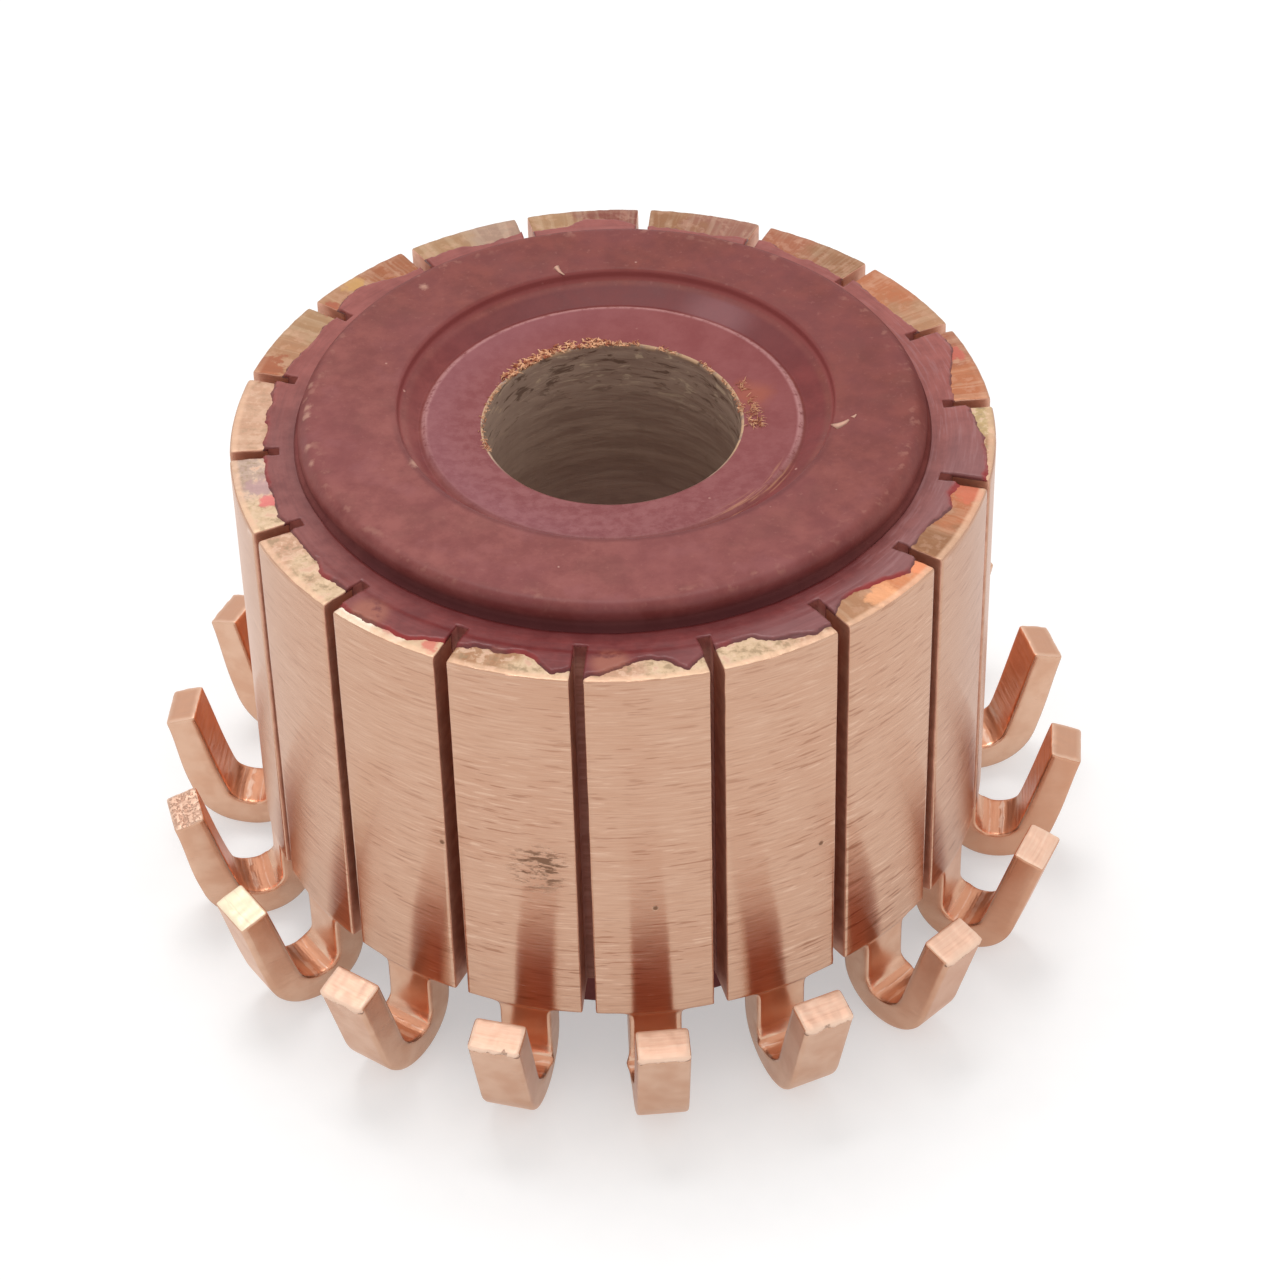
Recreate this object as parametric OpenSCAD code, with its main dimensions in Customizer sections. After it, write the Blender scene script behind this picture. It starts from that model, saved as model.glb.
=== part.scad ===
// Hook commutator: copper bars on a moulded resin hub, with a wire hook at the foot of each bar.
// The bore's axis is Z. The foot stands on the plane Z = 0, with the hooks at the lower end.

/* [Commutator] */
// Number of copper bars
bar_count = 18; // [12:1:22]
// Diameter over the bars, where the brushes run
track_d = 23.8; // [22.6:0.1:28]
// Diameter of the bore for the shaft
bore_d = 8; // [6:0.1:9.5]

/* [Bars] */
// Length of a bar along the axis, without its hook
bar_len = 13.8; // [8:0.1:22]
// Thickness of the copper shell
bar_t = 1.2; // [1.15:0.05:1.6]
// Width of the sawn slot between two bars
slot_w = 0.4; // [0.2:0.05:0.8]
// Depth of the sawn slot below the copper, in the resin
slot_cut = 0.35; // [0.1:0.05:0.6]
// Chamfer on the outer edge at the bars' free end
track_chamfer = 0.15; // [0.05:0.05:0.4]

/* [Bar roots] */
// Depth of the dovetail root below the copper shell
root_depth = 1.1; // [0.5:0.1:1.6]
// Width of the root where it leaves the shell
root_neck_w = 1.2; // [0.6:0.1:1.6]
// Width of the root at its inner end
root_w = 1.8; // [1:0.1:2]
// Distance of the root from each end of its bar
root_end = 1.4; // [0.5:0.1:3]

/* [Hooks] */
// Width of the tang and its hook
hook_w = 1.65; // [1:0.05:2]
// Thickness of the tang and its hook
hook_t = 1.05; // [0.7:0.05:1.1]
// Distance of the tang's face inside the brush track
tang_inset = 0.05; // [0.03:0.01:0.1]
// Straight length of the tang below the bar
tang_len = 1.55; // [0.8:0.05:3]
// Inner radius of the bend
bend_r = 0.67; // [0.4:0.01:1.2]
// Thickness that the strip loses at the bottom of the bend, where it was stretched
bend_thin = 0.15; // [0:0.01:0.3]
// Lean of the hook's arm away from the bars, in degrees
arm_lean = 16.7; // [5:0.1:35]
// Length of the hook's straight arm
arm_len = 3.55; // [2:0.05:5]
// Fillet between the tang and the foot of its bar
shoulder_r = 0.3; // [0.1:0.05:0.4]

/* [Hub face] */
// Diameter of the raised face
face_d = 19.4; // [17:0.1:20.5]
// Height of the raised face above the bar ends
face_h = 1; // [0.8:0.05:2]
// Radius of the raised face's outer edge
face_edge_r = 0.35; // [0.1:0.05:0.6]
// Diameter of the cove's mouth in the raised face
cove_d = 13.64; // [12.8:0.02:16]
// Radius of the cove's hollow
cove_r = 0.75; // [0.65:0.05:1.2]
// Diameter of the boss round the bore
boss_d = 11.8; // [10.5:0.1:12]
// Depth of the boss's lip below the raised face
boss_drop = 0.6; // [0.2:0.05:0.6]
// Fall of the boss's top from its lip to the bore
boss_dish = 0.15; // [0:0.05:0.4]

/* [Hub foot] */
// Diameter of the foot under the bars
foot_d = 16.4; // [13:0.1:18]
// Distance that the foot stands below the hooks
foot_stand = 0.2; // [0.1:0.05:2]

/* [Hidden] */
$fn = 96;
// Overrun of a cut past the surface it opens, and of a piece into the one it is joined to
overrun = 0.5;

bar_pitch = 360 / bar_count;
track_r = track_d / 2;
bar_in_r = track_r - bar_t;
slot_floor_r = bar_in_r - slot_cut;
root_in_r = bar_in_r - root_depth;
// Where the two faces of a bar's wedge would meet, half a slot clear of the dividing planes
wedge_tip_r = slot_w / 2 / sin(bar_pitch / 2);

// The tang's flat face lies inside the round track over its whole width
tang_x = sqrt(pow(track_r, 2) - pow(hook_w / 2, 2)) - tang_inset;
bend_x = tang_x + bend_r;
bend_z = foot_stand + bend_r + hook_t - bend_thin;
// The bend's outer round still touches the tang and the arm, so its centre rises along the line between them
bend_rise = bend_thin / (cos(arm_lean / 2) - sin(arm_lean / 2));
bend_out_r = bend_r + hook_t + bend_rise * sin(arm_lean / 2);
bar_foot_z = bend_z + tang_len;
bar_top_z = bar_foot_z + bar_len;

bore_r = bore_d / 2;
face_r = face_d / 2;
face_z = bar_top_z + face_h;
boss_r = boss_d / 2;
boss_lip_z = face_z - boss_drop;

copper = [0.80, 0.62, 0.50];
resin = [0.55, 0.33, 0.31];

function bar_name(i) = str("bar_", i < 10 ? "0" : "", i);

// Turns its children to the middle of bar i, counted from 1 at +X
module at_bar(i) {
    rotate((i - 1) * bar_pitch) children();
}

// Section of the resin from the bore outward: X is the radius, Y is the height
module hub_section() {
    difference() {
        union() {
            translate([bore_r, 0]) square([foot_d / 2 - bore_r, bar_foot_z + overrun]);
            translate([bore_r, bar_foot_z]) square([bar_in_r - bore_r, bar_len]);
            translate([bore_r, bar_top_z - overrun]) square([face_r - bore_r, face_h + overrun]);
        }
        boss_opening();
        cove();
        face_edge();
    }
}

// The space above the boss, with the boss's dished top as its floor
module boss_opening() {
    polygon([
        [bore_r - overrun, boss_lip_z - boss_dish * (boss_r - bore_r + overrun) / (boss_r - bore_r)],
        [boss_r, boss_lip_z],
        [boss_r, face_z + overrun],
        [bore_r - overrun, face_z + overrun]
    ]);
}

// The hollow beside the boss's lip: a flat floor that runs into a quarter round up to the raised face
module cove() {
    floor_end_r = cove_d / 2 - cove_r;
    intersection() {
        union() {
            translate([floor_end_r, face_z]) circle(cove_r);
            translate([0, face_z - cove_r]) square([floor_end_r, cove_r + overrun]);
        }
        translate([boss_r, face_z - cove_r]) square([cove_d / 2 - boss_r, cove_r + overrun]);
    }
}

// What the rounding takes off the raised face's outer corner
module face_edge() {
    translate([face_r - face_edge_r, face_z - face_edge_r]) difference() {
        square(face_edge_r + overrun);
        circle(face_edge_r);
    }
}

// Saw cut between bar i and the next one, down to the slot's floor
module slot(i) {
    at_bar(i + 0.5)
        translate([slot_floor_r, -slot_w / 2, bar_foot_z - overrun])
            cube([track_r - slot_floor_r, slot_w, bar_len + 2 * overrun]);
}

// Dovetail root of a bar, which the resin is moulded round
module root() {
    translate([0, 0, bar_foot_z + root_end])
        linear_extrude(bar_len - 2 * root_end)
            polygon([
                [bar_in_r + bar_t / 2, -root_neck_w / 2],
                [bar_in_r, -root_neck_w / 2],
                [root_in_r, -root_w / 2],
                [root_in_r, root_w / 2],
                [bar_in_r, root_neck_w / 2],
                [bar_in_r + bar_t / 2, root_neck_w / 2]
            ]);
}

// The moulded hub: raised face, cove, boss and foot on one body, bored for the shaft
module hub() {
    color(resin) difference() {
        rotate_extrude() hub_section();
        for (i = [1 : bar_count]) {
            slot(i);
            at_bar(i) root();
        }
    }
}

// Section of a bar across the axis: a piece of the copper ring with parallel-sided slots beside it
module bar_section() {
    reach = 2 * track_r;
    intersection() {
        difference() {
            circle(track_r);
            circle(bar_in_r);
        }
        polygon([
            [wedge_tip_r, 0],
            [wedge_tip_r + reach * cos(bar_pitch / 2), -reach * sin(bar_pitch / 2)],
            [wedge_tip_r + reach * cos(bar_pitch / 2), reach * sin(bar_pitch / 2)]
        ]);
    }
}

// What the chamfer takes off the track's edge at the bars' free end
module track_edge() {
    rotate_extrude() polygon([
        [track_r - track_chamfer - overrun, bar_top_z + overrun],
        [track_r + overrun, bar_top_z - track_chamfer - overrun],
        [track_r + overrun, bar_top_z + overrun]
    ]);
}

// Side view of the tang and its hook: X is the radius, Y is the height
module hook_section() {
    translate([bend_x, bend_z]) difference() {
        union() {
            translate([-bend_r - hook_t, 0]) square([hook_t, tang_len + overrun]);
            rotate(-arm_lean / 2) translate([0, bend_rise]) circle(bend_out_r);
            rotate(-arm_lean) translate([bend_r, 0]) square([hook_t, arm_len]);
        }
        circle(bend_r);
        hook_gap();
    }
}

// The space for the wire between the tang and the arm, above the bend
module hook_gap() {
    reach = 2 * bend_out_r;
    polygon([
        [0, 0],
        [-bend_r, 0],
        [-bend_r, reach],
        [bend_r * cos(arm_lean) + reach * sin(arm_lean), reach * cos(arm_lean) - bend_r * sin(arm_lean)],
        [bend_r * cos(arm_lean), -bend_r * sin(arm_lean)]
    ]);
}

// Fillet on one side of the tang (side is 1 or -1), seen along the radius
module shoulder(side) {
    translate([tang_x - hook_t, side * hook_w / 2, bar_foot_z])
        rotate([90, 0, 90])
            linear_extrude(hook_t) difference() {
                translate([side > 0 ? 0 : -shoulder_r, -shoulder_r]) square([shoulder_r, shoulder_r + overrun]);
                translate([side * shoulder_r, -shoulder_r]) circle(shoulder_r);
            }
}

// One copper bar with its root, tang and hook
module bar(i) {
    color(copper) at_bar(i) {
        difference() {
            translate([0, 0, bar_foot_z]) linear_extrude(bar_len) bar_section();
            track_edge();
        }
        root();
        rotate([90, 0, 0]) linear_extrude(hook_w, center = true) hook_section();
        shoulder(1);
        shoulder(-1);
    }
}

hub();
for (i = [1 : bar_count]) {
    bar(i);
}
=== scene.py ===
# %% [markdown]
# # A hook commutator, dressed in Blender
# A commutator is the switch on a small motor's shaft. Eighteen copper bars are moulded into a resin hub, and each
# bar ends in a hook that holds a wire of the winding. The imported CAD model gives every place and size, so it is
# loaded first and stays fixed. The looks are built round it, in metres and in the same frame.

# %% Load the frame
import math

import bmesh
import bpy
import numpy as np
from mathutils import Matrix, Vector, noise


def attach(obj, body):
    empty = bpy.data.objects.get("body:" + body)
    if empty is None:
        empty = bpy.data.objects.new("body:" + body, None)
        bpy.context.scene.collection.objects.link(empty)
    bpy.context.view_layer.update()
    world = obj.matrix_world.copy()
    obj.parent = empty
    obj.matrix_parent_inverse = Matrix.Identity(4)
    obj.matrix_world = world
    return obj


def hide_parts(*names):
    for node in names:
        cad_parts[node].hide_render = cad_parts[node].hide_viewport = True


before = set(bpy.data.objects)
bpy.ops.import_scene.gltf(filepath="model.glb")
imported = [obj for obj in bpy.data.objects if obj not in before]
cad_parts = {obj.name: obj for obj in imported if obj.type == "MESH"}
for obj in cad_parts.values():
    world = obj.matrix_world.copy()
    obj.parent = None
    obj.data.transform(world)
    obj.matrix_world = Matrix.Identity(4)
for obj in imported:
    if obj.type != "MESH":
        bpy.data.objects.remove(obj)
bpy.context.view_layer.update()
bar_names = sorted(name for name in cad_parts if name.startswith("bar_"))
print("bars in the frame:", len(bar_names))

# %% [markdown]
# ## The camera
# The photograph looks down at the part from the front, a little to the right, through a long lens. The camera could
# be placed by eye, but the slots and rings of the real part gave its angles, so it is built from those numbers. The
# columns of a camera's matrix are its right, up and backward directions, and a small roll turns the first two.

# %% Place the camera
MM = 0.001
IMAGE_PX = 1280
FOCAL_PX = 4095.0
SENSOR_MM = 36
VIEW_AZIMUTH = math.radians(5.8415)
VIEW_ELEVATION = math.radians(40.9161)
VIEW_ROLL = math.radians(-1.5066)
VIEW_DISTANCE = 136.338
VIEW_AIM = (0.5802, 3.8516)
BAR_FOOT_Z = 3.32


def view_axes():
    """The camera's right, up and backward directions."""
    sin_a, cos_a = math.sin(VIEW_AZIMUTH), math.cos(VIEW_AZIMUTH)
    sin_e, cos_e = math.sin(VIEW_ELEVATION), math.cos(VIEW_ELEVATION)
    back = Vector((sin_a * cos_e, -cos_a * cos_e, sin_e))
    right = Vector((cos_a, sin_a, 0))
    up = back.cross(right)
    sin_r, cos_r = math.sin(VIEW_ROLL), math.cos(VIEW_ROLL)
    return cos_r * right + sin_r * up, cos_r * up - sin_r * right, back


def show(thing):
    """Puts a new object into the scene."""
    bpy.context.scene.collection.objects.link(thing)
    return thing


right, up, back = view_axes()
eye = VIEW_AIM[0] * right + VIEW_AIM[1] * up + VIEW_DISTANCE * back + Vector((0, 0, BAR_FOOT_Z))
lens = bpy.data.cameras.new("camera")
lens.sensor_width = SENSOR_MM
lens.lens = SENSOR_MM * FOCAL_PX / IMAGE_PX
lens.clip_start = 0.01
camera = show(bpy.data.objects.new("camera", lens))
camera.matrix_world = Matrix.Translation(eye * MM) @ Matrix((right, up, back)).transposed().to_4x4()
bpy.context.scene.camera = camera
bpy.context.scene.view_settings.view_transform = "Standard"
print("lens", round(lens.lens, 1), "mm, camera at", [round(v, 1) for v in eye], "mm")

# %% [markdown]
# ## Shader maths as Python
# Every finish below is a tree of shader nodes. Trees can be wired by hand, node by node, but sums are easier to read
# as sums. This class wraps one socket: adding, multiplying or subtracting it adds the Math node that does so. Colours
# and vectors go through Mix and Vector Math instead, because a Math node would turn a colour grey.

# %% A socket that can stand in a sum
class Socket:
    """One output of a node, which can stand in a sum with numbers and other sockets."""

    def __init__(self, tree, socket=None):
        self.tree = tree
        self.socket = socket

    def node(self, kind, settings, inputs, output=0):
        """Adds any node: its settings first, then the values or links of its sockets."""
        made = self.tree.nodes.new(kind)
        for key, value in settings.items():
            setattr(made, key, value)
        for key, value in inputs.items():
            if isinstance(value, Socket):
                self.tree.links.new(value.socket, made.inputs[key])
            else:
                made.inputs[key].default_value = value
        return Socket(self.tree, made.outputs[output])

    def math(self, operation, *terms):
        return self.node("ShaderNodeMath", {"operation": operation}, dict(enumerate(terms)))

    def __add__(self, other):
        return self.math("ADD", self, other)

    def __sub__(self, other):
        return self.math("SUBTRACT", self, other)

    def __rsub__(self, other):
        return self.math("SUBTRACT", other, self)

    def __mul__(self, other):
        return self.math("MULTIPLY", self, other)

    __radd__ = __add__
    __rmul__ = __mul__

    def either(self, other):
        """The larger of two masks."""
        return self.math("MAXIMUM", self, other)

    def rise(self, low, high):
        """0 up to low, 1 from high on, and smooth between them."""
        settings = {"interpolation_type": "SMOOTHSTEP"}
        return self.node("ShaderNodeMapRange", settings, {"Value": self, "From Min": low, "From Max": high})

    def fall(self, low, high):
        """1 up to low, 0 from high on: the reverse of rise."""
        return 1 - self.rise(low, high)

    def band(self, start, full, fade, end):
        """1 between full and fade, and 0 outside start and end."""
        return self.rise(start, full) * self.fall(fade, end)

    def mix(self, colour, other):
        """The first colour where this mask is 0 and the other where it is 1."""
        return self.node("ShaderNodeMix", {"data_type": "RGBA"}, {0: self, 6: colour, 7: other}, 2)

    def vector(self, operation, other=(0, 0, 0), output=0):
        return self.node("ShaderNodeVectorMath", {"operation": operation}, {0: self, 1: other}, output)

    def scaled(self, *factors):
        """A vector whose three parts are multiplied by these factors."""
        return self.vector("MULTIPLY", factors)

    def moved(self, other):
        return self.vector("ADD", other)

    def far_from(self, point):
        """Distance of this place from a point."""
        return self.vector("DISTANCE", point, 1)

    def near(self, point, full, none):
        """1 within one distance of a point, and 0 beyond the other."""
        return self.far_from(point).fall(full, none)

    def from_axis(self, x=0.0, y=0.0):
        """Distance from an upright line, which is the bore's axis unless told otherwise."""
        return self.scaled(1, 1, 0).far_from((x, y, 0))

    def direction(self):
        """This vector with a length of 1."""
        return self.vector("NORMALIZE")

    def parts(self):
        """The X, Y and Z of a vector."""
        return [self.node("ShaderNodeSeparateXYZ", {}, {0: self}, n) for n in range(3)]

    def joined(self, *parts):
        """A vector from three sockets."""
        return self.node("ShaderNodeCombineXYZ", {}, dict(enumerate(parts)))

    def clouds(self, scale=1.0, detail=3.0, roughness=0.5, distortion=0.0):
        """Soft noise from 0 to 1, with lumps of about 1 / scale."""
        sockets = {"Vector": self, "Scale": scale, "Detail": detail, "Roughness": roughness, "Distortion": distortion}
        return self.node("ShaderNodeTexNoise", {}, sockets)

    def cells(self, scale=1.0):
        """Distance to the nearest of many scattered points, for pits and specks."""
        return self.node("ShaderNodeTexVoronoi", {}, {"Vector": self, "Scale": scale})


print("shader sums are ready")

# %% [markdown]
# ## Colours and the start of a finish
# Colours are read from the photograph as the usual red, green and blue from 0 to 255, and Blender's sockets want
# them linear. Each finish starts from a Principled shader with its constant sockets set, and from the place on the
# part in millimetres. That place is in the part's own frame, so a pattern never slides on the part. A finish is then
# built up like paint: a ground that drifts between two tones, and coats over it, each a mask and a tone.

# %% Start a finish
def tone(red, green, blue):
    """A colour of 0 to 255 as Blender's linear colour."""
    parts = [value / 255 for value in (red, green, blue)]
    return (*[v / 12.92 if v <= 0.04045 else ((v + 0.055) / 1.055) ** 2.4 for v in parts], 1.0)


def shades(drift, dark, pale, low=0.3, high=0.7):
    """A ground colour that follows a noise from one tone to another."""
    return drift.rise(low, high).mix(tone(*dark), tone(*pale))


def coated(colour, *coats):
    """Lays coats over a colour, each a mask and a tone."""
    for mask, tint in coats:
        colour = mask.mix(colour, tone(*tint))
    return colour


def start_finish(name, constants):
    """A new material, and a socket with the place on the part in mm."""
    made = bpy.data.materials.new(name)
    made.use_nodes = True
    for key, value in constants.items():
        made.node_tree.nodes["Principled BSDF"].inputs[key].default_value = value
    return made, Socket(made.node_tree).node("ShaderNodeTexCoord", {}, {}, "Object").scaled(1000, 1000, 1000)


def end_finish(made, colour, roughness, height):
    """Feeds the shader. The height is in mm, and the Bump node turns it into a normal."""
    shader = made.node_tree.nodes["Principled BSDF"]
    bump = height.node("ShaderNodeBump", {}, {"Strength": 1.0, "Distance": MM, "Height": height})
    for key, value in {"Base Color": colour, "Roughness": roughness, "Normal": bump}.items():
        made.node_tree.links.new(value.socket, shader.inputs[key])
    return made


print("colours are ready")

# %% [markdown]
# ## Turned copper
# The brush track was turned on a lathe, so fine lines run round it, and the metal mirrors sharply along the lines and
# blurs across them. That blur draws each hook's reflection up the bar as a soft red stripe. Bump alone could do it with
# very fine grooves, but the shader's anisotropy gives the same blur without noise, so grooves are kept for what the eye
# can see. Stretching one noise along X and Y alike makes lines that follow the round without any seam.

# %% Copper of the track, the tangs and the hooks
COPPER_METAL = {"Metallic": 1.0, "Anisotropic": 1.0, "Anisotropic Rotation": 0.25}
SCUFF_PLACE = (-1.35, -11.83, 9.45)
SPECK_PLACES = [(-4.38, -11.06, 9.65), (7.05, -9.58, 8.89), (2.14, -11.71, 7.88)]


def stain_and_light_paint(place, output="Color"):
    """The paint that is stored on the bar's points: stains, and painted highlights on the edges of the hooks' tips. Its
    alpha says how torn the copper is, and also marks a painted shadow under a torn lip.
    """
    return place.node("ShaderNodeAttribute", {"attribute_name": "stain_and_light"}, {}, output)


def turned_copper():
    made, place = start_finish("turned_copper", COPPER_METAL)
    x, y, z = place.parts()
    on_bar = z.rise(3.0, 3.7) * place.from_axis().fall(11.95, 12.1)
    strokes = place.scaled(0.85, 0.85, 9.5).clouds(1.0, 2.0, 0.55)
    hairs = place.scaled(0.9, 0.9, 26).clouds(1.0, 2.0, 0.6)
    broad = place.scaled(0.3, 0.3, 0.5).clouds()
    worked = broad.rise(0.35, 0.65) * (1 - z.rise(8.0, 17.0) * 0.6)
    worked = worked * (0.35 + x.rise(-10.0, -2.0) * 0.65 + x.rise(5.0, 11.0) * 0.4)
    track = coated(
        shades(hairs, (202, 159, 133), (213, 173, 148)),
        (broad.rise(0.4, 0.7) * 0.3, (199, 151, 124)),
        (strokes.rise(0.58, 0.67) * (0.2 + worked * 0.5), (160, 110, 85)),
        # painted highlights: pale dashes that light up the turning lines
        ((1 - strokes).rise(0.58, 0.68) * (0.16 + worked * 0.34), (236, 202, 178)),
        # painted shade: the track darkens toward the right side
        (x.rise(9.5, 11.6) * 0.5, (188, 144, 122)))
    smooth = place.clouds(1.2)
    # painted shade on the outer faces of the hooks at the right
    right_hook_shade = x.rise(8.0, 13.0) * y.fall(1.0, 3.5)
    hook = coated(shades(smooth, (212, 166, 138), (222, 182, 156)), (right_hook_shade * 0.5, (204, 144, 112)))
    scratches = place.scaled(1.8, 1.8, 6.0).clouds(1.0, 4.0, 0.65).rise(0.5, 0.58)
    scuff = place.near(SCUFF_PLACE, 0.5, 1.15) * scratches
    for spot in SPECK_PLACES:
        scuff = scuff.either(place.near(spot, 0.05, 0.11))
    # painted shadow under the torn lip of a hook's tip, marked in the paint's alpha
    shadow_below_lip = stain_and_light_paint(place, "Alpha").rise(0.8, 1.0) * (1 - on_bar)
    colour = coated(on_bar.mix(hook, track), (scuff * 0.7, (134, 95, 70)), (shadow_below_lip * 0.8, (112, 70, 50)))
    grooves = on_bar * (strokes * 0.006 + hairs * 0.0015) + smooth * 0.004
    return end_finish(made, colour, 0.2 + hairs * 0.1 + scuff * 0.3, grooves - scuff * 0.02)


track_finish = turned_copper()
print("finish:", track_finish.name)

# %% [markdown]
# ## Sawn, bent, sheared and end copper
# The same metal looks different where another tool touched it. The slot walls were sawn and hold dust, so they are
# brown and dull. The inside of each hook was pressed round a former, and the pale streaks in its bend are painted
# highlights. The hook tips were sheared, which leaves a pale face with fine lines. The bars' ends were faced before the
# resin was moulded, and heat and resin have stained each one its own way. Those stains are painted on the mesh as a
# colour attribute, because they change from bar to bar, and noise breaks them up. The same attribute holds painted
# highlights on the edges of the tips. Its alpha says how torn or mottled a face is, and marks a painted shadow under a
# torn lip.

# %% Slot walls, bends and hook tips
def sawn_copper():
    made, place = start_finish("sawn_copper", {"Metallic": 0.8})
    saw = place.scaled(1.5, 1.5, 9).clouds()
    dust = place.clouds(1.8)
    ground = saw.mix(tone(212, 160, 136), tone(228, 178, 152))
    colour = coated(ground, (dust.rise(0.35, 0.65) * 0.4, (170, 110, 88)))
    return end_finish(made, colour, 0.35 + dust * 0.2, saw * 0.008)


def bent_copper():
    made, place = start_finish("bent_copper", {"Metallic": 0.75})
    height_up = place.parts()[2]
    drawn = place.clouds(1.6)
    streaks = place.joined(place.from_axis() * 4.5, drawn * 2, height_up * 4.5).clouds(1.0, 2.0)
    arm = shades(drawn, (228, 142, 102), (238, 158, 118))
    # painted highlights: pale streaks in the bend
    bend = (streaks.rise(0.48, 0.66) * 0.6).mix(tone(224, 162, 128), tone(255, 232, 214))
    colour = height_up.fall(1.4, 2.4).mix(arm, bend)
    return end_finish(made, colour, 0.28 + drawn * 0.12, drawn * 0.012 + streaks * 0.04)


def sheared_copper():
    made, place = start_finish("sheared_copper", {"Metallic": 0.6})
    along = place.joined(place.from_axis() * 9, place.clouds(0.7) * 3, place.parts()[2] * 6)
    lines = along.clouds(1.0, 3.0, 0.6)
    torn = stain_and_light_paint(place, "Alpha")
    lined = torn.rise(0.0, 0.3)
    pits = place.clouds(7.0, 3.0, 0.6).rise(0.48, 0.58) * torn.rise(0.4, 0.75)
    colour = coated(
        stain_and_light_paint(place),
        (lines.rise(0.45, 0.7) * lined * 0.35, (255, 232, 212)),
        ((1 - lines).rise(0.56, 0.7) * lined * 0.22, (200, 140, 112)),
        (pits * 0.36, (176, 116, 90)))
    return end_finish(made, colour, 0.4 + lines * 0.2, lines * lined * 0.01 - pits * 0.04)


print("finishes for the slot walls, the bends and the tips are ready")


# %% Ends of the bars
BAR_TOP_Z = 17.12
# Place, reach in mm and tone of each stain
STAINS = [
    ((-10.2, -4.13), 0.36, (226, 116, 114)), ((-10.45, -3.5), 0.6, (190, 152, 150)),
    ((-4.41, -10.55), 0.36, (214, 120, 104)), ((-5.67, -9.95), 0.28, (216, 152, 136)),
    ((10.39, 4.45), 0.5, (196, 98, 82)), ((11.2, -2.5), 0.7, (206, 110, 80)),
    ((9.55, -6.0), 0.6, (242, 150, 104)), ((8.6, -7.4), 0.6, (240, 170, 122)),
    ((-11.22, 2.54), 0.8, (164, 88, 54)), ((-9.64, 5.73), 0.4, (170, 88, 60)),
    ((-9.11, 7.12), 0.5, (202, 154, 92)),
]


def end_copper():
    made, place = start_finish("end_copper", {"Metallic": 0.35})
    scratches = place.scaled(1, 1, 0).direction().scaled(62, 62, 0).moved(place.clouds(1.2, 2.0)).clouds(1.0, 2.0)
    grain = place.clouds(2.4, 4.0, 0.6)
    blots = place.clouds(2.4, 4.0, 0.65)
    mottled = stain_and_light_paint(place, "Alpha")
    colour = coated(
        stain_and_light_paint(place),
        (scratches.rise(0.42, 0.7) * 0.14, (250, 226, 196)),
        (blots.rise(0.5, 0.62) * mottled * 0.6, (246, 224, 194)),
        ((1 - blots).rise(0.51, 0.64) * mottled * 0.7, (160, 132, 100)),
        (grain.rise(0.52, 0.66) * (0.1 + mottled * 0.4), (208, 142, 118)))
    for spot, reach, tint in STAINS:
        away = place.far_from((*spot, BAR_TOP_Z)) + (blots - 0.5) * (2.4 * reach)
        colour = coated(colour, (away.fall(0.5 * reach, reach) * 0.85, tint))
    # painted highlight on the chamfer at the track's edge, weaker at the back
    chamfer_highlight = place.from_axis().rise(11.58, 11.72) * (1 - place.parts()[1].rise(0.0, 3.5) * 0.85)
    colour = coated(colour, (chamfer_highlight * 0.6, (236, 192, 160)))
    return end_finish(made, colour, 0.4 + grain * 0.2, scratches * 0.006 + blots * 0.05 - grain * 0.03)


bar_finishes = [track_finish, sawn_copper(), sheared_copper(), end_copper(), bent_copper()]
TRACK, SAWN, SHEARED, END, BENT = range(len(bar_finishes))
print("finishes on a bar:", [f.name for f in bar_finishes])

# %% [markdown]
# ## The cage of one bar
# A bar is a curved slab with a tang that is bent into a hook, all of one piece of copper. It could be cut from solids
# with booleans, but a subdivision surface gives the soft edges of real stamped metal and an even mesh. So the bar is a
# lattice of cells, columns across it, layers through it and rows along it, and the cage is the skin of the cells that
# are filled. The rows run from the bar's free end down to its foot, along the tang, round the bend and up the arm.

# %% Sizes of a bar
BAR_COUNT = len(bar_names)
PITCH = 2 * math.pi / BAR_COUNT
TRACK_R = 11.9
BAR_IN_R = 10.7
SLOT_HALF = 0.2
ROOT_IN_R = 9.6
HOOK_T = 1.05
TANG_HALF = 0.825
TANG_X = 11.821
BEND_R = 0.67
BEND_X = TANG_X + BEND_R
BEND_Z = 1.77
BEND_THIN = 0.15
ARM_LEAN = math.radians(16.7)
ARM_LEN = 3.55
BEND_FLAT = 0.76

columns_on_bar = [0, 0.15, 0.3, 0.45, 0.6, 0.84, 1.02, 1.2, 1.46]
columns_on_tang = [0, 0.14, 0.28, 0.42, 0.54, 0.64, TANG_HALF]
layers = [ROOT_IN_R, BAR_IN_R, 10.78, 10.92, 11.3, 11.74, TRACK_R]
depths = [0, 0.18, 0.5, 0.82, 1]
EDGE_HOLD = 0.09
ROOT_TOP_Z = 15.72
ROOT_FOOT_Z = 4.72
rows_on_bar = [BAR_TOP_Z, 17.04, 16.86, 16.3, ROOT_TOP_Z, 14.6, 13.5, 12.4, 11.3, 10.2, 9.1, 8.0, 6.9, 5.8]
rows_on_bar += [ROOT_FOOT_Z, 4.3, 3.9, 3.6, 3.4, BAR_FOOT_Z]
HALF = len(columns_on_bar) + 1
ON_TANG = len(columns_on_tang) - 1
ON_ROOT = columns_on_bar.index(0.6)
print("cells across a bar:", 2 * HALF, "rows on its slab:", len(rows_on_bar))


# %% The slab's rows
def side_of(radius):
    """Half the width of a bar at a radius: its sides are parallel to the slots' middles."""
    return radius * math.sin(PITCH / 2 - math.asin(SLOT_HALF / radius))


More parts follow.
